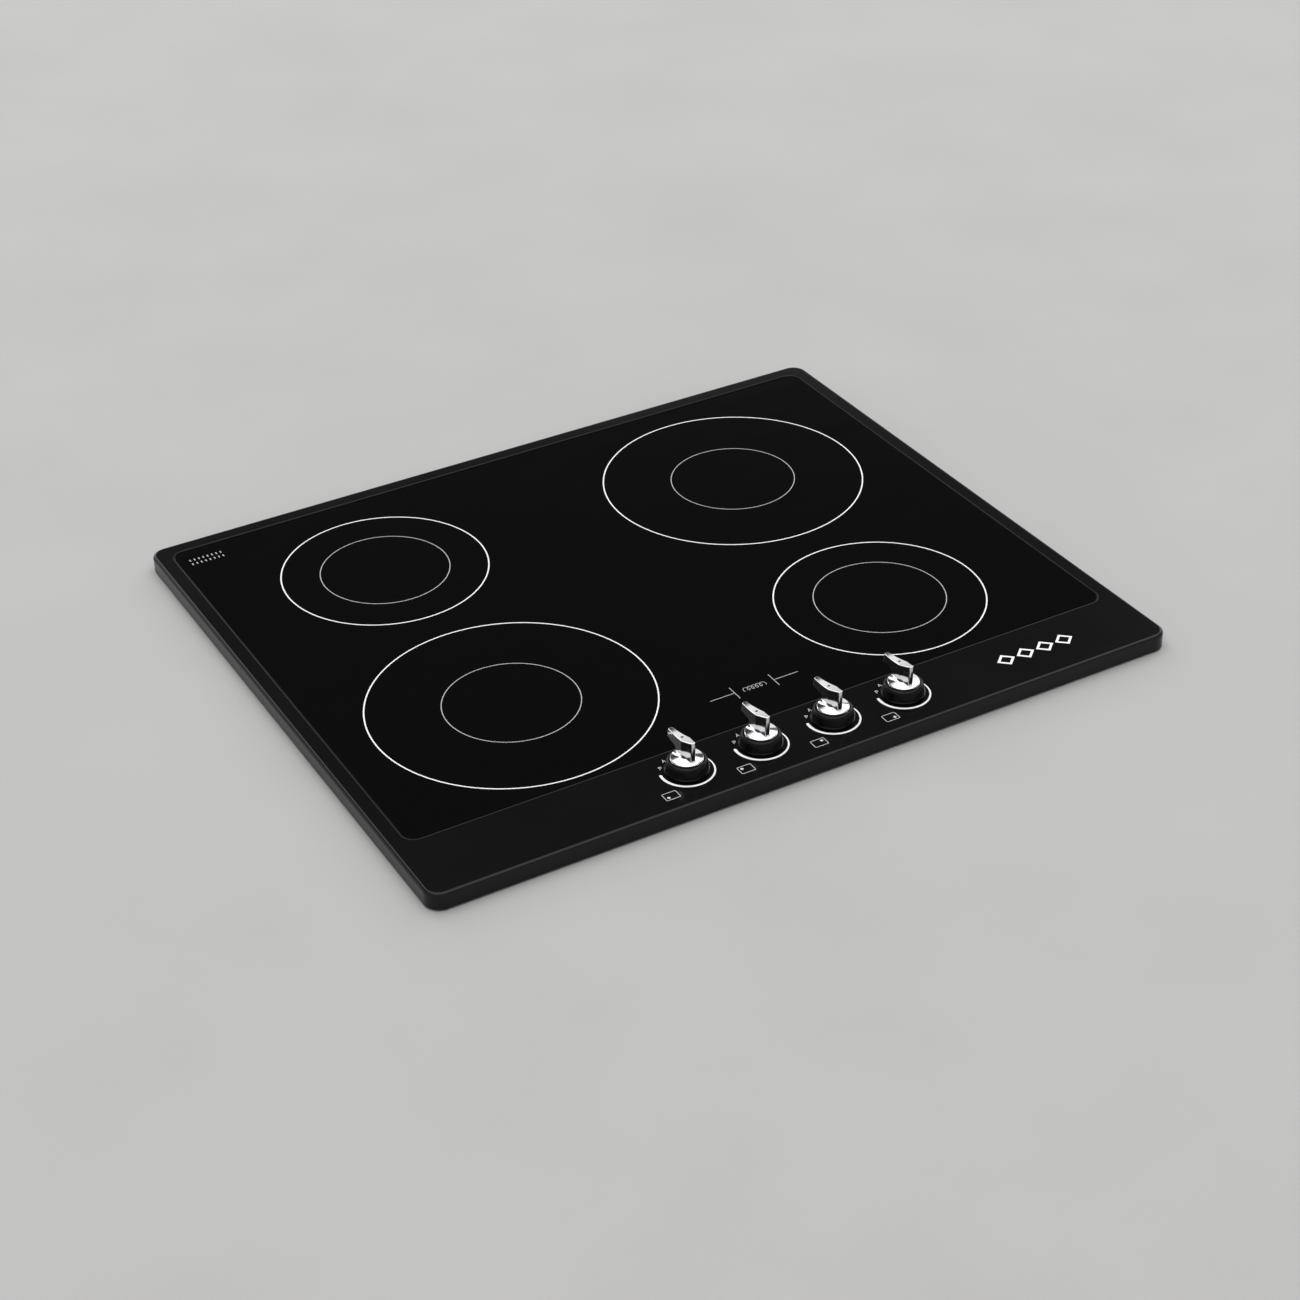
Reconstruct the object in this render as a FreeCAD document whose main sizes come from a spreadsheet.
import FreeCAD, Part
import math
import os
import Sketcher

# Built-in induction cooktop with a raised frame and four knobs on the front deck.
# Millimetres. X runs left to right, Y front to back, Z up. The origin is the middle of the
# frame in plan, at the height of the worktop that the seal lies on.

os.makedirs("parts", exist_ok=True)
doc = FreeCAD.newDocument("Cooktop")
V = FreeCAD.Vector

SIZES = [
    # frame and glass
    ("frame_width", 600), ("frame_depth", 510), ("frame_corner", 12), ("frame_edge_round", 2.5),
    ("frame_foot", 1.5), ("deck_top", 14), ("sheet_wall", 2),
    ("glass_left", -287), ("glass_front", -192.8), ("glass_rear", 241.7), ("glass_corner", 10),
    ("glass_recess", 1), ("glass_thickness", 4), ("bond_thickness", 0.5), ("ledge_thickness", 2),
    ("glass_gap", 0.4), ("ledge_left", -270), ("ledge_front", -182.8), ("ledge_rear", 224.7),
    # casing, seal and what holds them
    ("casing_width", 554), ("casing_depth", 484), ("casing_corner", 8), ("casing_sheet", 1),
    ("casing_floor", -45), ("flange_top", 3), ("flange_width", 594), ("flange_depth", 504),
    ("seal_width", 592), ("seal_depth", 502), ("seal_band", 4.5), ("seal_thickness", 2),
    ("lug_wide", 16), ("lug_thick", 3.2), ("lug_bottom", -14), ("lug_screw_height", -7),
    ("lug_hole", 1.7), ("lug_from_middle", 165), ("screw_shank", 1.65), ("screw_head", 3.4),
    ("screw_head_high", 2), ("screw_long", 6), ("spring_wide", 22), ("spring_sheet", 0.6),
    ("spring_bulge", 2.1), ("spring_from_middle", 75),
    # knobs, measured from the deck's top face
    ("knob_first", -88.4), ("knob_pitch", 59.2), ("knob_row", -219), ("knob_gap", 0.6),
    ("skirt_rim", 16.1), ("skirt_top", 9.6), ("skirt_wall", 1.6), ("collar_round", 11.5),
    ("collar_top", 12.4), ("collar_edge", 11.1), ("lever_stem", 4.8), ("lever_half_width", 3.7),
    ("lever_nose", 22.6), ("lever_back", -9.8), ("lever_corner", 1.2), ("shaft_radius", 3),
    ("shaft_play", 0.05), ("shaft_flat", 1.6), ("shaft_top", 9), ("shaft_hole", 5.2),
    # controls under the deck
    ("control_board_wide", 236), ("control_board_deep", 33), ("board_thickness", 1.6),
    ("control_board_top", -2), ("encoder_wide", 13), ("encoder_high", 6.5),
    ("bushing_radius", 4.5), ("bushing_top", 11.5), ("boss_radius", 3.2), ("boss_hole", 1.3),
    ("boss_from_middle", 113), ("boss_apart", 25),
    # coils: large zones are front left and rear right, small ones rear left and front right
    ("large_coil", 92), ("small_coil", 68), ("coil_eye", 24), ("coil_bottom", 3.2),
    ("coil_top", 7.4), ("carrier_bottom", 0), ("carrier_margin", 4), ("carrier_hole", 10),
    ("ferrite_wide", 14), ("ferrite_high", 4.8), ("ferrite_top", 1.8), ("ferrite_start", 18),
    ("insulation_bottom", 7.5), ("insulation_top", 8.9), ("sensor_radius", 7.5),
    ("left_zones", -152.4), ("right_zones", 148.1), ("front_left_row", -80.4),
    ("rear_left_row", 133.5), ("rear_right_row", 112.9), ("front_right_row", -101),
    ("plate_top", -3.4), ("plate_sheet", 1.2), ("plate_half_width", 266),
    ("plate_front", -196), ("plate_rear", 232), ("plate_foot", 10),
    # power boards, heat sinks, blowers and the mains connection
    ("power_board_wide", 176), ("power_board_deep", 232), ("power_board_top", -35.4),
    ("power_board_middle", 162), ("power_board_row", -66), ("post_radius", 3),
    ("sink_wide", 64), ("sink_long", 150), ("sink_base", 4), ("sink_high", 25), ("sink_fin", 1.6),
    ("sink_fins", 9), ("blower_row", 112), ("blower_radius", 42), ("blower_wall", 1.5),
    ("blower_top", -16), ("rotor_radius", 37), ("rotor_top", -18.5),
    ("rotor_bottom", -42), ("rotor_blades", 24), ("hub_radius", 12), ("pin_radius", 2),
    ("inlet_radius", 27), ("slot_wide", 3.4), ("slot_pitch", 7), ("cover_wide", 90),
    ("cover_deep", 50), ("cover_row", 200), ("cover_sheet", 1.8), ("gland_height", -30),
    ("gland_bore", 5.5), ("gland_body", 8.5), ("gland_collar", 12), ("terminal_ways", 5),
]

sheet = doc.addObject("Spreadsheet::Sheet", "Sizes")
for line, (alias, figure) in enumerate(SIZES, 1):
    sheet.set(f"A{line}", alias)
    sheet.set(f"B{line}", str(figure))
    sheet.setAlias(f"B{line}", alias)
doc.recompute()


def size(alias):
    """Number held in the sheet under this name."""
    return float(sheet.get(alias))


def cell(expression):
    """Expression with each sheet name given its sheet prefix."""
    words = sorted((name for name, _ in SIZES), key=len, reverse=True)
    out = []
    rest = expression
    while rest:
        found = next((w for w in words if rest.startswith(w)), None)
        if found:
            out.append("Sizes." + found)
            rest = rest[len(found):]
        else:
            out.append(rest[0])
            rest = rest[1:]
    return "".join(out)


def value(expression):
    """Value of an expression written with the sheet's names."""
    return float(sheet.evalExpression(cell(expression)))


def body(label, x="0", y="0", z="0"):
    """New part body placed by three sheet expressions."""
    made = doc.addObject("PartDesign::Body", "Body_" + label)
    made.Label = label
    for axis, expression in zip("xyz", (x, y, z)):
        made.setExpression("Placement.Base." + axis, cell(expression))
    return made


def sketch(owner, plane="XY", lift="0"):
    """Sketch on one of the body's origin planes, moved along its normal by an expression."""
    made = owner.newObject("Sketcher::SketchObject", "Sketch")
    role = plane + "_Plane"
    base = [p for p in owner.Origin.OriginFeatures if p.Role == role][0]
    made.AttachmentSupport = [(base, "")]
    made.MapMode = "FlatFace"
    made.setExpression("AttachmentOffset.Base.z", cell(lift))
    return made


def drive(sk, kind, where, expression):
    """Add a dimension to a sketch and tie it to an expression."""
    index = sk.addConstraint(Sketcher.Constraint(kind, *where, value(expression)))
    sk.setExpression(f"Constraints[{index}]", cell(expression))


def circle(sk, radius, x="0", y="0"):
    """Circle with its radius and centre tied to expressions."""
    geo = sk.addGeometry(Part.Circle(V(value(x), value(y), 0), V(0, 0, 1), value(radius)), False)
    drive(sk, "Radius", (geo,), radius)
    drive(sk, "DistanceX", (geo, 3), x)
    drive(sk, "DistanceY", (geo, 3), y)


def outline(sk, points):
    """Closed outline of straight lines through points given as pairs of expressions."""
    spots = [V(value(x), value(y), 0) for x, y in points]
    count = len(spots)
    lines = [sk.addGeometry(Part.LineSegment(spots[k], spots[(k + 1) % count]), False)
             for k in range(count)]
    for k in range(count):
        sk.addConstraint(Sketcher.Constraint("Coincident", lines[k], 2, lines[(k + 1) % count], 1))
        drive(sk, "DistanceX", (lines[k], 1), points[k][0])
        drive(sk, "DistanceY", (lines[k], 1), points[k][1])


def rectangle(sk, left, right, bottom, top):
    """Upright rectangle between four expressions."""
    outline(sk, [(left, bottom), (right, bottom), (right, top), (left, top)])


def rounded(sk, left, right, bottom, top, corner):
    """Upright rectangle with round corners between four expressions."""
    l, r, b, t, c = (value(e) for e in (left, right, bottom, top, corner))
    sides = [(V(l + c, b, 0), V(r - c, b, 0)), (V(r, b + c, 0), V(r, t - c, 0)),
             (V(r - c, t, 0), V(l + c, t, 0)), (V(l, t - c, 0), V(l, b + c, 0))]
    middles = [V(r - c, b + c, 0), V(r - c, t - c, 0), V(l + c, t - c, 0), V(l + c, b + c, 0)]
    lines = [sk.addGeometry(Part.LineSegment(a, z), False) for a, z in sides]
    arcs = []
    for k, middle in enumerate(middles):
        ring = Part.Circle(middle, V(0, 0, 1), c)
        start = math.radians(90 * k - 90)
        arcs.append(sk.addGeometry(Part.ArcOfCircle(ring, start, start + math.pi / 2), False))
    for k in range(4):
        sk.addConstraint(Sketcher.Constraint("Tangent", lines[k], 2, arcs[k], 1))
        sk.addConstraint(Sketcher.Constraint("Tangent", arcs[k], 2, lines[(k + 1) % 4], 1))
        sk.addConstraint(Sketcher.Constraint("Vertical" if k % 2 else "Horizontal", lines[k]))
    for k in range(1, 4):
        sk.addConstraint(Sketcher.Constraint("Equal", arcs[0], arcs[k]))
    drive(sk, "Radius", (arcs[0],), corner)
    drive(sk, "DistanceY", (lines[0], 1), bottom)
    drive(sk, "DistanceX", (lines[1], 1), right)
    drive(sk, "DistanceY", (lines[2], 1), top)
    drive(sk, "DistanceX", (lines[3], 1), left)


def pad(owner, profile, length, down=False):
    """Material added from a sketch, up along its normal or down against it."""
    made = owner.newObject("PartDesign::Pad", "Pad")
    made.Profile = profile
    made.Reversed = down
    made.setExpression("Length", cell(length))
    profile.Visibility = False
    return made


def cut(owner, profile, length, up=False):
    """Material taken away below a sketch, or above it; the volume must go down."""
    doc.recompute()
    before = owner.Shape.Volume
    made = owner.newObject("PartDesign::Pocket", "Pocket")
    made.Profile = profile
    made.Reversed = up
    made.setExpression("Length", cell(length))
    doc.recompute()
    if not owner.Shape.Volume < before - 0.01:
        raise ValueError("nothing was cut from " + owner.Label)
    return made


def turn(owner, profile):
    """Material turned a full circle about the sketch's upright axis."""
    made = owner.newObject("PartDesign::Revolution", "Revolution")
    made.Profile = profile
    made.ReferenceAxis = (profile, ["V_Axis"])
    made.Angle = 360
    return made


def round_edges(owner, feature, radius, wanted):
    """Fillet those edges of the feature that the test picks out."""
    doc.recompute()
    names = [f"Edge{k}" for k, edge in enumerate(feature.Shape.Edges, 1) if wanted(edge)]
    made = owner.newObject("PartDesign::Fillet", "Fillet")
    made.Base = (feature, names)
    made.setExpression("Radius", cell(radius))
    doc.recompute()
    return made


def at_height(z):
    """Test for edges that lie wholly at one height."""
    def wanted(edge):
        box = edge.BoundBox
        return abs(box.ZMin - z) < 1e-4 and abs(box.ZMax - z) < 1e-4
    return wanted


def row(owner, feature, profile, count, length, upright=False):
    """Repeat a feature along the sketch's level or upright axis."""
    made = owner.newObject("PartDesign::LinearPattern", "Row")
    made.Originals = [feature]
    made.Direction = (profile, ["V_Axis" if upright else "H_Axis"])
    made.setExpression("Length", cell(length))
    made.Occurrences = count
    owner.Tip = made
    doc.recompute()
    return made


def ring(owner, feature, profile, count):
    """Repeat a feature evenly round the sketch's normal."""
    made = owner.newObject("PartDesign::PolarPattern", "Ring")
    made.Originals = [feature]
    made.Axis = (profile, ["N_Axis"])
    made.Angle = 360
    made.Occurrences = count
    owner.Tip = made
    doc.recompute()
    return made


def group(label, solids):
    """Several separate solids of one kind under one label."""
    made = doc.addObject("Part::Feature", "Group_" + label)
    made.Label = label
    made.Shape = Part.makeCompound(solids)
    made.Placement = FreeCAD.Placement()
    return made


parts = []

# ---------------------------------------------------------------- frame
# One pressed and enamelled frame: outer skirt, deck, a stepped well for the glass with a ledge
# under it, lugs for the casing screws and bosses for the control board.
frame = body("deck_frame")
profile = sketch(frame, lift="frame_foot")
rounded(profile, "-frame_width/2", "frame_width/2", "-frame_depth/2", "frame_depth/2",
        "frame_corner")
block = pad(frame, profile, "deck_top-frame_foot")
block = round_edges(frame, block, "frame_edge_round", at_height(size("deck_top")))

well = "glass_recess+glass_thickness+bond_thickness"
profile = sketch(frame, lift="deck_top")
rounded(profile, "glass_left", "-glass_left", "glass_front", "glass_rear", "glass_corner")
step = cut(frame, profile, well)


def lip(edge):
    """Top edge of the glass well, not the frame's own outline."""
    box = edge.BoundBox
    inside = box.XMin > size("glass_left") - 1 and box.XMax < 1 - size("glass_left")
    return at_height(size("deck_top"))(edge) and inside and box.YMax < size("glass_rear") + 1 \
        and box.YMin > size("glass_front") - 1


round_edges(frame, step, "glass_recess*0.95", lip)

profile = sketch(frame, lift="deck_top")
rounded(profile, "ledge_left", "-ledge_left", "ledge_front", "ledge_rear", "glass_corner-4")
cut(frame, profile, "deck_top-frame_foot+1")

profile = sketch(frame, lift="frame_foot")
rounded(profile, "-frame_width/2+sheet_wall", "frame_width/2-sheet_wall",
        "-frame_depth/2+sheet_wall", "frame_depth/2-sheet_wall", "frame_corner-sheet_wall")
cut(frame, profile, "flange_top+0.05-frame_foot", up=True)

profile = sketch(frame, lift="flange_top+0.05")
rounded(profile, "-frame_width/2+sheet_wall", "frame_width/2-sheet_wall",
        "-frame_depth/2+sheet_wall", "frame_depth/2-sheet_wall", "frame_corner-sheet_wall")
rounded(profile, "glass_left-sheet_wall", "sheet_wall-glass_left", "glass_front-sheet_wall",
        "glass_rear+sheet_wall", "glass_corner+sheet_wall")
cut(frame, profile, "deck_top-sheet_wall-flange_top-0.05", up=True)

profile = sketch(frame, lift="flange_top+0.05")
rounded(profile, "glass_left", "-glass_left", "glass_front", "glass_rear", "glass_corner")
cut(frame, profile, "deck_top-(" + well + ")-ledge_thickness-flange_top-0.05", up=True)

# rib under the control deck that bears on the casing's flange
profile = sketch(frame, lift="flange_top+0.05")
rib = [("glass_left-sheet_wall", "glass_front-sheet_wall+1"), ("glass_left-sheet_wall", "-247"),
       ("sheet_wall-glass_left", "-247"), ("sheet_wall-glass_left", "glass_front-sheet_wall+1"),
       ("-glass_left", "glass_front-sheet_wall+1"), ("-glass_left", "-245"),
       ("glass_left", "-245"), ("glass_left", "glass_front-sheet_wall+1")]
outline(profile, rib)
pad(frame, profile, "deck_top-sheet_wall/2-flange_top-0.05")

# lugs for the casing screws: two on each side, two at the front, two at the rear
inner_x = "casing_width/2-casing_sheet-0.2"
inner_y = "casing_depth/2-casing_sheet-0.2"
lug_high = "deck_top-(" + well + ")-ledge_thickness/2-lug_bottom"
profile = sketch(frame, lift="lug_bottom")
for sign in ("-", ""):
    for across in ("-", ""):
        near = f"{across}lug_from_middle"
        rectangle(profile, *sorted((f"{sign}({inner_x})", f"{sign}({inner_x}-lug_thick)"),
                                   key=value), near + "-lug_wide/2", near + "+lug_wide/2")
pad(frame, profile, lug_high)
profile = sketch(frame, lift="lug_bottom")
for across in ("-", ""):
    near = f"{across}lug_from_middle"
    rectangle(profile, near + "-lug_wide/2", near + "+lug_wide/2", inner_y + "-lug_thick",
              inner_y)
pad(frame, profile, lug_high)
profile = sketch(frame, lift="lug_bottom")
for across in ("-", ""):
    near = f"{across}lug_from_middle"
    rectangle(profile, near + "-lug_wide/2", near + "+lug_wide/2", f"-({inner_y})",
              f"-({inner_y})+lug_thick")
pad(frame, profile, "deck_top-sheet_wall/2-lug_bottom")

for plane, reach in (("YZ", "casing_width"), ("XZ", "casing_depth")):
    for sign in ("-", ""):
        profile = sketch(frame, plane=plane, lift=f"{sign}{reach}/2")
        for across in ("-", ""):
            circle(profile, "lug_hole", f"{across}lug_from_middle", "lug_screw_height")
        cut(frame, profile, "casing_sheet+0.2+lug_thick+0.5",
            up=(sign == "-"))

# control shaft holes through the deck, and hollow bosses that carry the control board
knobs = [f"knob_first+{k}*knob_pitch" for k in range(4)]
profile = sketch(frame, lift="deck_top")
for across in knobs:
    circle(profile, "shaft_hole", across, "knob_row")
cut(frame, profile, "sheet_wall+0.5")
boss_spots = [(f"{a}boss_from_middle", f"knob_row{b}boss_apart/2")
              for a in ("-", "") for b in ("-", "+")]
profile = sketch(frame, lift="control_board_top")
for x, y in boss_spots:
    circle(profile, "boss_radius", x, y)
pad(frame, profile, "deck_top-sheet_wall/2-control_board_top")
profile = sketch(frame, lift="control_board_top")
for x, y in boss_spots:
    circle(profile, "boss_hole", x, y)
cut(frame, profile, "8", up=True)
parts.append(frame)

# ---------------------------------------------------------------- glass and its bond
# Glass-ceramic plate in the well, held and sealed by a bead of black silicone.
glass = body("glass_panel")
profile = sketch(glass, lift="deck_top-glass_recess")
rounded(profile, "glass_left+glass_gap+0.05", "-glass_left-glass_gap-0.05",
        "glass_front+glass_gap+0.05", "glass_rear-glass_gap-0.05", "glass_corner-glass_gap")
plate = pad(glass, profile, "glass_thickness", down=True)
round_edges(glass, plate, "0.4", at_height(size("deck_top") - size("glass_recess")))
parts.append(glass)

bead = body("glass_bond_bead")
profile = sketch(bead, lift="deck_top-glass_recess-glass_thickness-bond_thickness")
rounded(profile, "glass_left+0.05", "-glass_left-0.05", "glass_front+0.05", "glass_rear-0.05",
        "glass_corner-0.05")
rounded(profile, "ledge_left-3", "-ledge_left+3", "ledge_front-3", "ledge_rear+3",
        "glass_corner-2")
pad(bead, profile, "bond_thickness+glass_thickness-0.5")
profile = sketch(bead, lift="deck_top-glass_recess-glass_thickness")
rounded(profile, "glass_left+glass_gap", "-glass_left-glass_gap", "glass_front+glass_gap",
        "glass_rear-glass_gap", "glass_corner-glass_gap")
cut(bead, profile, "glass_thickness", up=True)
parts.append(bead)

# ---------------------------------------------------------------- worktop seal
# Closed-cell foam strip stuck under the casing's flange; it lies on the worktop.
seal = body("worktop_seal")
profile = sketch(seal)
rounded(profile, "-seal_width/2", "seal_width/2", "-seal_depth/2", "seal_depth/2",
        "frame_corner-4")
rounded(profile, "-seal_width/2+seal_band", "seal_width/2-seal_band",
        "-seal_depth/2+seal_band", "seal_depth/2-seal_band", "frame_corner-4-seal_band/2")
pad(seal, profile, "seal_thickness")
parts.append(seal)

# ---------------------------------------------------------------- base casing
# Zinc-plated sheet-steel tub in the cut-out: flange, walls and floor, with air slots, a recess
# for the terminal cover and a hole for the cable gland.
casing = body("base_casing")
profile = sketch(casing, lift="casing_floor")
rounded(profile, "-casing_width/2", "casing_width/2", "-casing_depth/2", "casing_depth/2",
        "casing_corner")
tub = pad(casing, profile, "flange_top-casing_floor")
round_edges(casing, tub, "1.5", at_height(size("casing_floor")))
profile = sketch(casing, lift="flange_top-casing_sheet")
rounded(profile, "-flange_width/2", "flange_width/2", "-flange_depth/2", "flange_depth/2",
        "frame_corner-3")
pad(casing, profile, "casing_sheet")
profile = sketch(casing, lift="flange_top")
rounded(profile, "-casing_width/2+casing_sheet", "casing_width/2-casing_sheet",
        "-casing_depth/2+casing_sheet", "casing_depth/2-casing_sheet",
        "casing_corner-casing_sheet")
cut(casing, profile, "flange_top-casing_floor-casing_sheet")

profile = sketch(casing, lift="casing_floor+casing_sheet/2")
rounded(profile, "-cover_wide/2-2", "cover_wide/2+2", "cover_row-cover_deep/2-2",
        "cover_row+cover_deep/2+2", "4")
pad(casing, profile, "casing_sheet/2+cover_sheet+0.2")
profile = sketch(casing, lift="casing_floor")
rounded(profile, "-cover_wide/2", "cover_wide/2", "cover_row-cover_deep/2",
        "cover_row+cover_deep/2", "3")
cut(casing, profile, "cover_sheet+0.2", up=True)
profile = sketch(casing, lift="casing_floor")
rounded(profile, "-cover_wide/2+16", "cover_wide/2-16", "cover_row-cover_deep/2+8",
        "cover_row+cover_deep/2-8", "3")
cut(casing, profile, "cover_sheet+casing_sheet+1", up=True)

for sign in ("-", ""):
    # air inlet: a block of slots under each blower
    profile = sketch(casing, lift="casing_floor")
    middle = f"{sign}power_board_middle"
    rectangle(profile, middle + "-3*slot_pitch-slot_wide/2", middle + "-3*slot_pitch+slot_wide/2",
              "blower_row-inlet_radius+5", "blower_row+inlet_radius-5")
    slot = cut(casing, profile, "casing_sheet*2", up=True)
    row(casing, slot, profile, 7, "6*slot_pitch")
    # air outlet: slots through the front wall
    profile = sketch(casing, plane="XZ", lift="casing_depth/2")
    rectangle(profile, middle + "-8*slot_pitch-slot_wide/2", middle + "-8*slot_pitch+slot_wide/2",
              "-38", "-22")
    slot = cut(casing, profile, "casing_sheet*2")
    row(casing, slot, profile, 17, "16*slot_pitch")

profile = sketch(casing, plane="XZ", lift="-casing_depth/2")
circle(profile, "gland_body+0.1", "0", "gland_height")
cut(casing, profile, "casing_sheet*2", up=True)
for plane, reach in (("YZ", "casing_width"), ("XZ", "casing_depth")):
    for sign in ("-", ""):
        profile = sketch(casing, plane=plane, lift=f"{sign}{reach}/2")
        for across in ("-", ""):
            circle(profile, "lug_hole+0.2", f"{across}lug_from_middle", "lug_screw_height")
            if plane == "YZ":
                circle(profile, "lug_hole", f"{across}spring_from_middle", "lug_screw_height")
        cut(casing, profile, "casing_sheet*1.1", up=(sign == "-"))
parts.append(casing)


def screw(head_from, direction, long):
    """Pan-head screw: head outside a surface point, shank pointing along the direction."""
    head = Part.makeCylinder(size("screw_head"), size("screw_head_high"), head_from, -direction)
    rim = [edge for edge in head.Edges if abs(edge.CenterOfMass.distanceToPoint(head_from)
                                              - size("screw_head_high")) < 0.01]
    head = head.makeFillet(0.8, rim[:1])
    slot = Part.makeBox(0.9, 4.4, 1.0, V(-0.45, -2.2, 0))
    other = Part.makeBox(4.4, 0.9, 1.0, V(-2.2, -0.45, 0))
    recess = slot.fuse(other)
    recess.Placement = FreeCAD.Placement(head_from - direction * size("screw_head_high"),
                                         FreeCAD.Rotation(V(0, 0, 1), direction))
    shank = Part.makeCylinder(size("screw_shank"), long, head_from - direction * 0.2, direction)
    return head.cut(recess).fuse(shank).removeSplitter()


# Pan-head screws through the casing walls into the frame's lugs.
half_x = size("casing_width") / 2
half_y = size("casing_depth") / 2
far = size("lug_from_middle")
high = size("lug_screw_height")
screws = []
for side in (-1, 1):
    for across in (-far, far):
        screws.append(screw(V(side * half_x, across, high), V(-side, 0, 0), size("screw_long")))
        screws.append(screw(V(across, side * half_y, high), V(0, -side, 0), size("screw_long")))
parts.append(group("casing_screws", screws))

# Leaf springs screwed to the side walls; their bulge presses on the edge of the cut-out.
springs = []
spring_screws = []
sheet_gap = 0.05
near = size("spring_from_middle")
for side in (-1, 1):
    for across in (-near, near):
        inner = half_x + sheet_gap
        thick = size("spring_sheet")
        bulge = size("spring_bulge")
        flat = [(inner, high + 5), (inner, high - 6)]
        curve = [(inner + bulge * (0.5 - 0.5 * math.cos(2 * math.pi * k / 16)), high - 6 - 22 * k / 16)
                 for k in range(1, 17)]
        run = flat + curve
        outer = [(x + thick, z) for x, z in reversed(run)]
        ring_points = [V(side * x, across - size("spring_wide") / 2, z) for x, z in run + outer]
        strip = Part.Face(Part.makePolygon(ring_points + ring_points[:1]))
        strip = strip.extrude(V(0, size("spring_wide"), 0))
        hole = Part.makeCylinder(size("screw_shank") + 0.15, 4, V(side * (inner - 1), across, high),
                                 V(side, 0, 0))
        springs.append(strip.cut(hole))
        spring_screws.append(screw(V(side * (inner + thick), across, high), V(-side, 0, 0), 5))
parts.append(group("fixing_springs", springs))
parts.append(group("fixing_spring_screws", spring_screws))

# ---------------------------------------------------------------- knobs
# Each knob is a black moulded skirt, a plated collar disc and a plated lever whose stem is
# pushed onto the encoder's shaft. Heights are above the deck, so the bodies are lifted by it.
SKIRT = [("skirt_rim-skirt_wall", "knob_gap"), ("skirt_rim-0.3", "knob_gap"),
         ("skirt_rim", "knob_gap+0.4"), ("skirt_rim", "knob_gap+1.2"),
         ("skirt_rim-0.4", "knob_gap+1.6"), ("skirt_rim-2", "skirt_top"),
         ("lever_stem+0.05", "skirt_top"), ("lever_stem+0.05", "skirt_top-4"),
         ("lever_stem+1.6", "skirt_top-4"), ("lever_stem+1.6", "skirt_top-skirt_wall"),
         ("skirt_rim-4.1", "skirt_top-skirt_wall"), ("skirt_rim-2.9", "6.2")]
COLLAR = [("lever_stem+0.05", "skirt_top+0.02"), ("collar_round-0.2", "skirt_top+0.02"),
          ("collar_round", "skirt_top+0.2"), ("collar_round", "skirt_top+0.6"),
          ("collar_round-0.5", "skirt_top+0.75"), ("collar_round-0.5", "skirt_top+0.9"),
          ("collar_round-0.1", "skirt_top+1.05"), ("collar_round-0.1", "collar_edge-0.25"),
          ("collar_round-0.4", "collar_edge"), ("lever_stem+0.05", "collar_top")]


def collar_height(reach):
    """Height of the collar's coned top at a distance from its axis, with a hair of play."""
    inner = size("lever_stem") + 0.05
    slope = (size("collar_top") - size("collar_edge")) / (size("collar_round") - 0.4 - inner)
    return size("collar_top") + 0.02 - slope * (abs(reach) - inner)


def upright(edge):
    """Nearly vertical edge of the lever's fin."""
    box = edge.BoundBox
    return box.ZLength > 3 and box.XLength < 0.5 and box.YLength < 2.2


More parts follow.
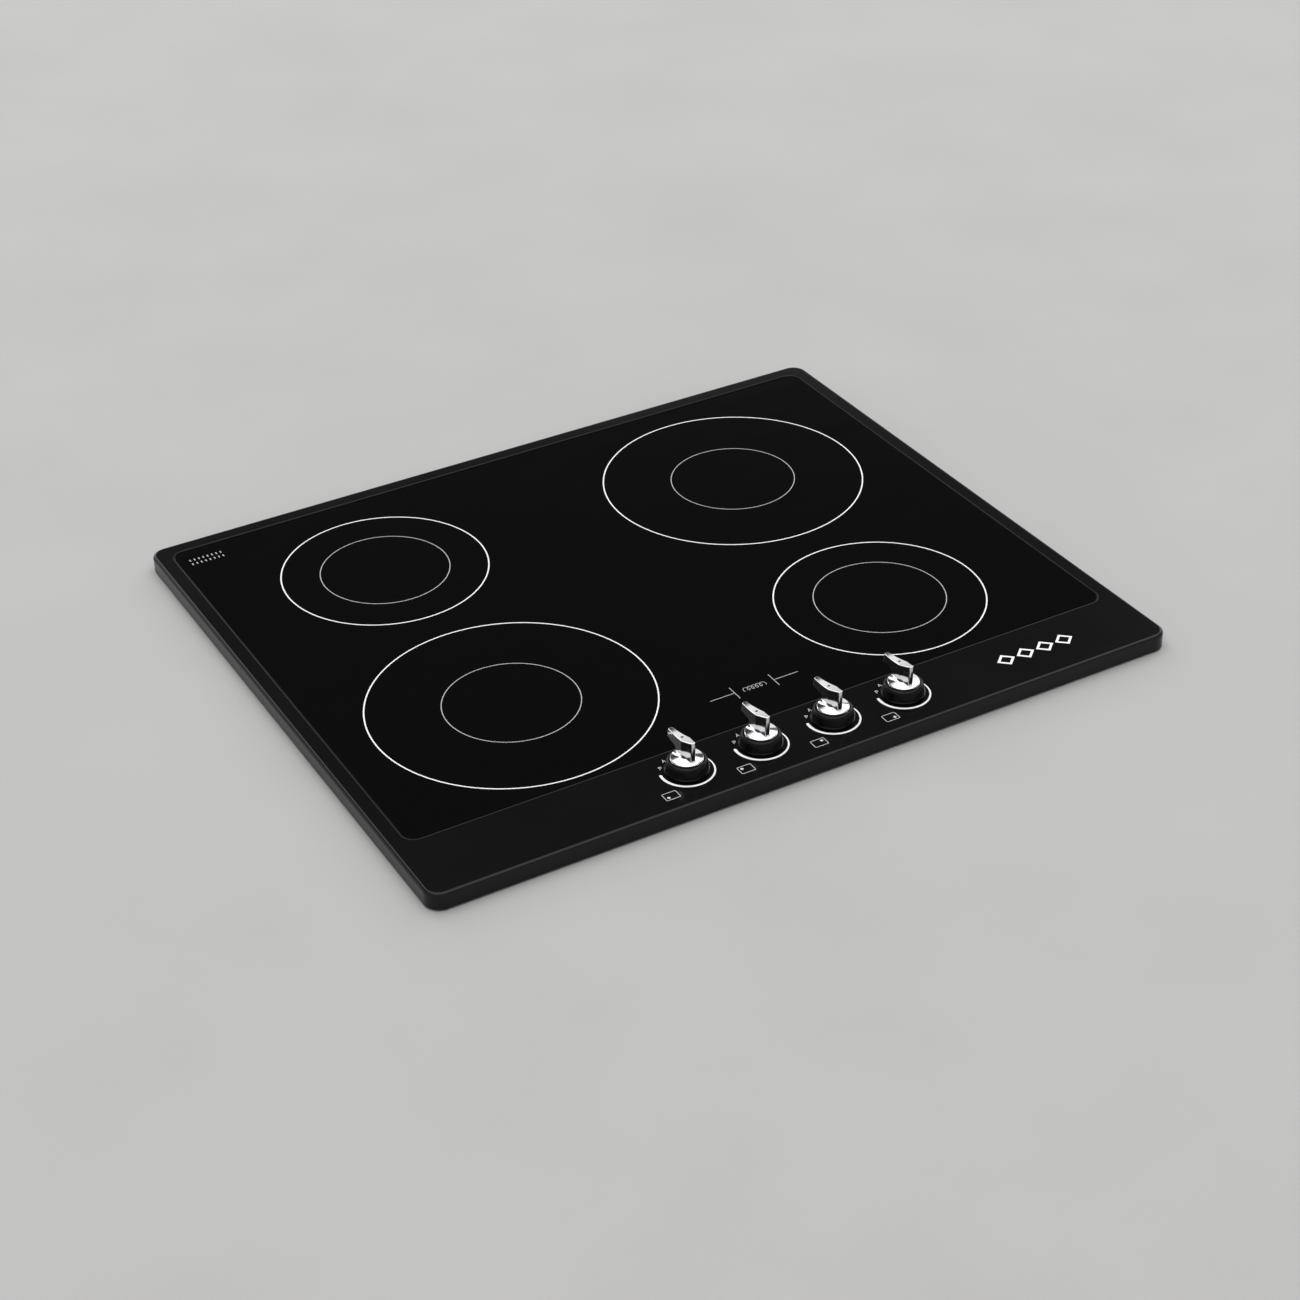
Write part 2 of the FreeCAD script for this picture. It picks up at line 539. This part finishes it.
for number, across in enumerate(knobs, 1):
    skirt = body(f"knob_skirt_{number}", across, "knob_row", "deck_top")
    profile = sketch(skirt, plane="XZ")
    outline(profile, SKIRT)
    shell = turn(skirt, profile)
    crown = size("skirt_rim") - 2
    round_edges(skirt, shell, "2.6", lambda edge: at_height(size("skirt_top"))(edge)
                and edge.Length > 2 * math.pi * crown - 0.1)
    parts.append(skirt)

    collar = body(f"knob_collar_{number}", across, "knob_row", "deck_top")
    profile = sketch(collar, plane="XZ")
    outline(profile, COLLAR)
    turn(collar, profile)
    parts.append(collar)

    lever = body(f"knob_lever_{number}", across, "knob_row", "deck_top")
    profile = sketch(lever, plane="YZ", lift="-lever_half_width")
    points = [V(size("lever_back"), 28.2, 0), V(5.6, 24.05, 0), V(size("lever_nose"), 22, 0)]
    top = profile.addGeometry(Part.Arc(*points), False)
    nose = (size("lever_nose") + 1.6, 15.3)
    root = (9.6, collar_height(9.6))
    neck = (root[0] + 3.5, root[1] + 3.5)
    front = (size("lever_back") + 0.6, collar_height(size("lever_back") + 0.6))
    stem = size("lever_stem") + 0.1
    hollow = Part.Circle(V(neck[0], root[1], 0), V(0, 0, 1), 3.5)
    shoulder = collar_height(stem)
    tongue = 3
    corners = [V(*root, 0), V(stem, shoulder, 0), V(tongue, shoulder, 0),
               V(tongue, shoulder - 1, 0), V(-tongue, shoulder - 1, 0), V(-tongue, shoulder, 0),
               V(-stem, shoulder, 0), V(*front, 0), points[0]]
    chain = [Part.LineSegment(points[2], V(*nose, 0)), Part.LineSegment(V(*nose, 0), V(*neck, 0)),
             Part.ArcOfCircle(hollow, math.pi / 2, math.pi)]
    chain += [Part.LineSegment(a, z) for a, z in zip(corners, corners[1:])]
    made = [profile.addGeometry(piece, False) for piece in chain]
    drive(profile, "DistanceX", (made[0], 1), "lever_nose")
    drive(profile, "DistanceX", (made[-1], 2), "lever_back")
    fin = pad(lever, profile, "2*lever_half_width")
    # the fin narrows to the nose and to the back in plan
    profile = sketch(lever, lift="collar_edge-2")
    rectangle(profile, "-12", "12", "-20", "30")
    outline(profile, [("-1.6", "lever_nose+2"), ("-lever_half_width", "lever_corner"),
                      ("-1.6", "lever_back-0.2"), ("1.6", "lever_back-0.2"),
                      ("lever_half_width", "lever_corner"), ("1.6", "lever_nose+2")])
    fin = cut(lever, profile, "30", up=True)
    fin = round_edges(lever, fin, "1.2", upright)
    rim = max(fin.Shape.Faces, key=lambda face: face.CenterOfMass.z).Edges
    round_edges(lever, fin, "0.6", lambda edge: any(edge.isSame(other) for other in rim))
    # stem in the skirt's bore, with a bore for the shaft and its flat
    profile = sketch(lever, lift="2")
    circle(profile, "lever_stem")
    pad(lever, profile, "collar_top-2.02")
    play = size("shaft_radius") + size("shaft_play")
    flat = size("shaft_flat") + size("shaft_play")
    half = math.sqrt(play ** 2 - flat ** 2)
    profile = sketch(lever, lift="2")
    low = math.atan2(flat, half)
    bore = Part.ArcOfCircle(Part.Circle(V(0, 0, 0), V(0, 0, 1), play), math.pi - low,
                            2 * math.pi + low)
    profile.addGeometry([bore, Part.LineSegment(V(half, flat, 0), V(-half, flat, 0))], False)
    profile.addConstraint(Sketcher.Constraint("Coincident", 0, 2, 1, 1))
    profile.addConstraint(Sketcher.Constraint("Coincident", 1, 2, 0, 1))
    drive(profile, "Radius", (0,), "shaft_radius+shaft_play")
    cut(lever, profile, "shaft_top-2+0.3", up=True)
    # index mark: a small blind hole in the top face
    profile = sketch(lever, lift="30")
    circle(profile, "0.85", "0", "5.8")
    cut(lever, profile, "7")
    parts.append(lever)

    shaft = body(f"control_shaft_{number}", across, "knob_row")
    profile = sketch(shaft, lift="control_board_top+1")
    circle(profile, "shaft_radius")
    pad(shaft, profile, "deck_top+shaft_top-control_board_top-1")
    profile = sketch(shaft, lift="deck_top+1")
    rectangle(profile, "-4", "4", "shaft_flat", "4")
    cut(shaft, profile, "shaft_top", up=True)
    parts.append(shaft)

    encoder = body(f"encoder_{number}", across, "knob_row")
    profile = sketch(encoder, lift="control_board_top")
    rounded(profile, "-encoder_wide/2", "encoder_wide/2", "-encoder_wide/2", "encoder_wide/2",
            "1")
    pad(encoder, profile, "encoder_high")
    profile = sketch(encoder, lift="control_board_top+encoder_high")
    circle(profile, "bushing_radius")
    pad(encoder, profile, "bushing_top-control_board_top-encoder_high")
    profile = sketch(encoder, lift="bushing_top")
    circle(profile, "shaft_radius+shaft_play")
    cut(encoder, profile, "bushing_top-control_board_top-0.9")
    parts.append(encoder)

# ---------------------------------------------------------------- control board
# Glass-fibre board under the deck that carries the encoders and a few chips.
board = body("control_board")
profile = sketch(board, lift="control_board_top")
rounded(profile, "-control_board_wide/2", "control_board_wide/2",
        "knob_row-control_board_deep/2", "knob_row+control_board_deep/2", "2")
for x, y in boss_spots:
    circle(profile, "boss_hole+0.2", x, y)
pad(board, profile, "board_thickness", down=True)
profile = sketch(board, lift="control_board_top-board_thickness")
for across in ("knob_first+0.5*knob_pitch", "knob_first+1.5*knob_pitch",
               "knob_first+2.5*knob_pitch"):
    rectangle(profile, across + "-6", across + "+6", "knob_row-4", "knob_row+4")
pad(board, profile, "2", down=True)
parts.append(board)

board_screws = []
for x, y in boss_spots:
    spot = V(value(x), value(y), value("control_board_top-board_thickness"))
    tool = Part.makeCylinder(2.6, 1.8, spot, V(0, 0, -1))
    board_screws.append(tool.fuse(Part.makeCylinder(1.25, 7, spot)).removeSplitter())
parts.append(group("control_board_screws", board_screws))

# ---------------------------------------------------------------- coils
# Under each zone: a wound coil on a moulded carrier, ferrite bars let into the carrier's
# underside, an insulation disc under the glass and a sprung temperature sensor in the eye.
ZONES = [("front_left", "left_zones", "front_left_row", "large_coil", 8, 16),
         ("rear_left", "left_zones", "rear_left_row", "small_coil", 6, 11),
         ("rear_right", "right_zones", "rear_right_row", "large_coil", 8, 16),
         ("front_right", "right_zones", "front_right_row", "small_coil", 6, 11)]
sensors = []
for name, x, y, reach, bars, turns in ZONES:
    middle = V(value(x), value(y), 0)
    # the turns of litz wire touch, so the winding is one ridged ring
    eye = size("coil_eye")
    step = (size(reach) - eye) / turns
    low = size("coil_bottom")
    crest = size("coil_top")
    edges = [Part.LineSegment(V(eye, 0, low), V(size(reach), 0, low)).toShape(),
             Part.LineSegment(V(size(reach), 0, low), V(size(reach), 0, crest - 1.2)).toShape()]
    for k in reversed(range(turns)):
        a = eye + k * step
        edges.append(Part.Arc(V(a + step, 0, crest - 1.2), V(a + step / 2, 0, crest),
                              V(a, 0, crest - 1.2)).toShape())
    edges.append(Part.LineSegment(V(eye, 0, crest - 1.2), V(eye, 0, low)).toShape())
    section = Part.Face(Part.Wire(edges))
    winding = doc.addObject("Part::Feature", "Winding_" + name)
    winding.Label = "coil_winding_" + name
    winding.Shape = section.revolve(V(0, 0, 0), V(0, 0, 1), 360)
    winding.Placement = FreeCAD.Placement(middle, FreeCAD.Rotation())
    parts.append(winding)

    carrier = body("coil_carrier_" + name, x, y)
    profile = sketch(carrier, lift="carrier_bottom")
    circle(profile, reach + "+carrier_margin")
    circle(profile, "carrier_hole")
    pad(carrier, profile, "coil_bottom-0.05-carrier_bottom")
    profile = sketch(carrier, lift="carrier_bottom")
    rectangle(profile, "ferrite_start-0.3", reach + "-1.7", "-ferrite_wide/2-0.2",
              "ferrite_wide/2+0.2")
    groove = cut(carrier, profile, "ferrite_top+0.1-carrier_bottom", up=True)
    ring(carrier, groove, profile, bars)
    profile = sketch(carrier, lift="plate_top")
    for k in range(3):
        turned = math.radians(180 / bars + 120 * k if bars == 6 else 22.5 + 135 * k)
        across = f"({reach}-4)*{math.cos(turned):.6f}"
        along = f"({reach}-4)*{math.sin(turned):.6f}"
        circle(profile, "3.5", across, along)
    pad(carrier, profile, "carrier_bottom+1-plate_top")
    parts.append(carrier)

    bar_list = []
    for k in range(bars):
        bar = Part.makeBox(size(reach) - 2 - size("ferrite_start"), size("ferrite_wide"),
                           size("ferrite_high"), V(size("ferrite_start"),
                                                   -size("ferrite_wide") / 2,
                                                   size("ferrite_top") - size("ferrite_high")))
        bar.rotate(V(0, 0, 0), V(0, 0, 1), 360 * k / bars)
        bar_list.append(bar)
    ferrites = group("coil_ferrites_" + name, bar_list)
    ferrites.Placement = FreeCAD.Placement(middle, FreeCAD.Rotation())
    parts.append(ferrites)

    disc = body("coil_insulation_" + name, x, y)
    profile = sketch(disc, lift="insulation_bottom")
    circle(profile, reach + "+2")
    circle(profile, "sensor_radius+1")
    pad(disc, profile, "insulation_top-insulation_bottom")
    parts.append(disc)

    cap = Part.makeCylinder(size("sensor_radius"), size("insulation_top") - size("coil_bottom"),
                            middle + V(0, 0, size("coil_bottom")))
    stem = Part.makeCylinder(4, size("coil_bottom") - size("plate_top"),
                             middle + V(0, 0, size("plate_top")))
    sensors.append(cap.fuse(stem).removeSplitter())
parts.append(group("coil_sensors", sensors))

# ---------------------------------------------------------------- coil support plate
# Bent aluminium plate that stands on the casing floor and carries the four coils.
plate = body("coil_support_plate")
profile = sketch(plate, plane="XZ", lift="-plate_rear")
foot = "casing_floor+casing_sheet"
inside = "plate_half_width-plate_sheet"
outline(profile, [("-plate_half_width", "plate_top"), ("-plate_half_width", foot),
                  (f"-({inside})+plate_foot", foot), (f"-({inside})+plate_foot",
                                                      foot + "+plate_sheet"),
                  (f"-({inside})", foot + "+plate_sheet"), (f"-({inside})", "plate_top-plate_sheet"),
                  (inside, "plate_top-plate_sheet"), (inside, foot + "+plate_sheet"),
                  (f"{inside}-plate_foot", foot + "+plate_sheet"), (f"{inside}-plate_foot", foot),
                  ("plate_half_width", foot), ("plate_half_width", "plate_top")])
pad(plate, profile, "plate_rear-plate_front")
profile = sketch(plate, lift="plate_top")
for across in ("-24", "24"):
    for along in ("-120", "0", "120"):
        rounded(profile, across + "-12", across + "+12", along + "-30", along + "+30", "5")
cut(plate, profile, "plate_sheet*1.5")
parts.append(plate)

# ---------------------------------------------------------------- power electronics
# One board, heat sink and blower for each pair of zones.
posts = []
for side, sign in (("left", "-"), ("right", "")):
    middle = f"{sign}power_board_middle"
    power = body("power_board_" + side, middle, "power_board_row")
    profile = sketch(power, lift="power_board_top")
    rounded(profile, "-power_board_wide/2", "power_board_wide/2", "-power_board_deep/2",
            "power_board_deep/2", "3")
    pad(power, profile, "board_thickness", down=True)
    # filter choke, two bus capacitors and relays
    profile = sketch(power, lift="power_board_top")
    circle(profile, "11", "62", "-90")
    circle(profile, "9", "62", "-62")
    circle(profile, "9", "62", "-40")
    rectangle(profile, "-80", "-52", "-108", "-84")
    rectangle(profile, "-80", "-56", "-76", "-58")
    pad(power, profile, "20")
    parts.append(power)

    sink = body("heatsink_" + side, middle, "0")
    profile = sketch(sink, plane="XZ", lift="135")
    comb = [("-sink_wide/2", "power_board_top+0.05")]
    comb += [("sink_wide/2", "power_board_top+0.05")]
    count = int(size("sink_fins"))
    pitch = f"((sink_wide-sink_fin)/{count - 1})"
    for k in reversed(range(count)):
        left = f"-sink_wide/2+{k}*{pitch}"
        right = left + "+sink_fin"
        comb += [(right, "power_board_top+sink_high"), (left, "power_board_top+sink_high")]
        if k:
            comb += [(left, "power_board_top+sink_base"),
                     (f"-sink_wide/2+{k - 1}*{pitch}+sink_fin", "power_board_top+sink_base")]
    outline(profile, comb)
    pad(sink, profile, "sink_long", down=True)
    parts.append(sink)

    blower = body("fan_housing_" + side, middle, "blower_row")
    profile = sketch(blower, lift=foot)
    rounded(profile, "-blower_radius", "blower_radius", "-blower_radius", "blower_radius",
            "blower_radius-2")
    pad(blower, profile, f"blower_top-({foot})")
    profile = sketch(blower, lift=foot)
    rectangle(profile, "0", "blower_radius", "-blower_radius-8", "0")
    pad(blower, profile, f"blower_top-({foot})")
    profile = sketch(blower, lift=foot)
    circle(profile, "blower_radius-blower_wall")
    cut(blower, profile, f"blower_top-blower_wall-({foot})", up=True)
    profile = sketch(blower, lift=foot)
    rectangle(profile, "blower_wall", "blower_radius-blower_wall", "-blower_radius-9", "0")
    cut(blower, profile, f"blower_top-blower_wall-({foot})", up=True)
    profile = sketch(blower, lift="rotor_bottom+2")
    circle(profile, "pin_radius")
    pad(blower, profile, "blower_top-blower_wall/2-rotor_bottom-2")
    parts.append(blower)

    rotor = body("fan_rotor_" + side, middle, "blower_row")
    profile = sketch(rotor, lift="rotor_top")
    circle(profile, "rotor_radius")
    pad(rotor, profile, "1.5", down=True)
    profile = sketch(rotor, lift="rotor_top-1")
    circle(profile, "hub_radius")
    pad(rotor, profile, "18", down=True)
    profile = sketch(rotor, lift="rotor_bottom")
    circle(profile, "rotor_radius")
    circle(profile, "rotor_radius-2")
    pad(rotor, profile, "1.5")
    profile = sketch(rotor, lift="rotor_bottom+1")
    rectangle(profile, "rotor_radius-9", "rotor_radius-0.6", "-0.5", "0.5")
    blade = pad(rotor, profile, "rotor_top-1-rotor_bottom-1")
    ring(rotor, blade, profile, int(size("rotor_blades")))
    profile = sketch(rotor, lift="rotor_top+1")
    circle(profile, "pin_radius+0.05")
    cut(rotor, profile, "rotor_top-rotor_bottom")
    parts.append(rotor)

    for across in (-80, 80):
        for along in (-108, 0, 108):
            spot = V(value(middle) + across, value("power_board_row") + along, value(foot))
            posts.append(Part.makeCylinder(size("post_radius"),
                                           value(f"power_board_top-board_thickness-({foot})"),
                                           spot))
parts.append(group("power_board_posts", posts))

# ---------------------------------------------------------------- mains connection
# Screw terminal block over a snapped-in cover, and a gland in the rear wall for the cable.
block = body("terminal_block", "0", "cover_row")
profile = sketch(block, lift="casing_floor+casing_sheet+cover_sheet+0.2")
rounded(profile, "-32", "32", "-12", "12", "2")
pad(block, profile, "16")
profile = sketch(block, lift="casing_floor+casing_sheet+cover_sheet+16.2")
circle(profile, "3.2", "-24", "0")
way = cut(block, profile, "9")
row(block, way, profile, int(size("terminal_ways")), "48")
parts.append(block)

cover = body("terminal_cover", "0", "cover_row")
profile = sketch(cover, lift="casing_floor+0.2")
rounded(profile, "-cover_wide/2+0.4", "cover_wide/2-0.4", "-cover_deep/2+0.4",
        "cover_deep/2-0.4", "2.6")
lid = pad(cover, profile, "cover_sheet-0.05")
round_edges(cover, lid, "0.5", at_height(size("casing_floor") + 0.2))
parts.append(cover)

gland = body("cable_gland", "0", "casing_depth/2")
profile = sketch(gland, plane="XZ", lift="6")
circle(profile, "gland_body", "0", "gland_height")
pad(gland, profile, "8", down=True)
profile = sketch(gland, plane="XZ", lift="-0.05")
circle(profile, "gland_collar", "0", "gland_height")
pad(gland, profile, "2.2", down=True)
profile = sketch(gland, plane="XZ", lift="8")
circle(profile, "gland_bore", "0", "gland_height")
cut(gland, profile, "14")
parts.append(gland)

# ---------------------------------------------------------------- check and write
doc.recompute()
for thing in doc.Objects:
    for state in thing.State:
        if state in ("Invalid", "Error"):
            raise ValueError(f"{thing.Label} is {state}")
for part in parts:
    if part.Shape.isNull() or not part.Shape.isValid():
        raise ValueError("bad shape in " + part.Label)
    part.Shape.exportStep(f"parts/{part.Label}.step")
    box = part.Shape.BoundBox
    print(f"{part.Label:26s} solids {len(part.Shape.Solids):2d} volume {part.Shape.Volume:11.1f} "
          f"x {box.XMin:7.1f} {box.XMax:7.1f} y {box.YMin:7.1f} {box.YMax:7.1f} "
          f"z {box.ZMin:6.1f} {box.ZMax:6.1f}")
print(len(parts), "parts")
